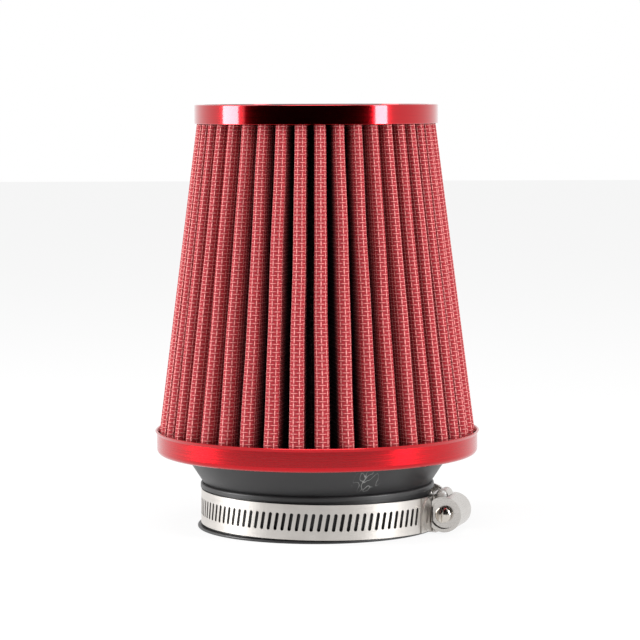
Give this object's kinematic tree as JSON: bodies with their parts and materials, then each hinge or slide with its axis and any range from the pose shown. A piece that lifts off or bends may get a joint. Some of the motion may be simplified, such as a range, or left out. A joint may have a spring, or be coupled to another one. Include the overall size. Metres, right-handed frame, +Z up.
{
  "type": "cone air filter",
  "caption": "Tapered pleated engine air filter with a moulded rubber neck and top cap, anodised end rings and a slack worm-drive band clamp on the neck.",
  "frame": {"origin": "centre of the neck's lower face, on the filter's axis", "axes": "+Z up the filter's axis from the neck to the top cap, -Y towards the viewer of the picture, +X to the viewer's right, where the clamp's screw housing sits"},
  "size_m": [0.1204, 0.1204, 0.1567],
  "materials": {
    "moulded_rubber": "satin moulded",
    "brushed_red_anodised": "spun, brushed and red anodised",
    "bright_red_anodised": "bright red anodised",
    "meshed_cotton_gauze": "oiled gauze under fine woven wire mesh",
    "stainless_strip": "rolled stainless strip",
    "plated_screw": "bright zinc plated"
  },
  "bodies": {
    "filter": {"neck_base": "moulded_rubber", "top_cap": "moulded_rubber", "lower_ring": "brushed_red_anodised", "top_ring": "bright_red_anodised", "pleated_media": "meshed_cotton_gauze"},
    "clamp": {"clamp_band": "stainless_strip", "clamp_saddle": "stainless_strip", "clamp_housing": "stainless_strip"},
    "screw": {"clamp_screw": "plated_screw"}
  },
  "joints": [
    {"name": "clamp_turn", "type": "hinge", "parent": "filter", "child": "clamp", "pos_m": [0, 0, 0.0077], "axis": [0, 0, 1], "continuous": true},
    {"name": "screw_turn", "type": "hinge", "parent": "clamp", "child": "screw", "pos_m": [0.04855, -0.01531, 0.00716], "axis": [-0.309, -0.9511, 0.0035], "continuous": true}
  ]
}
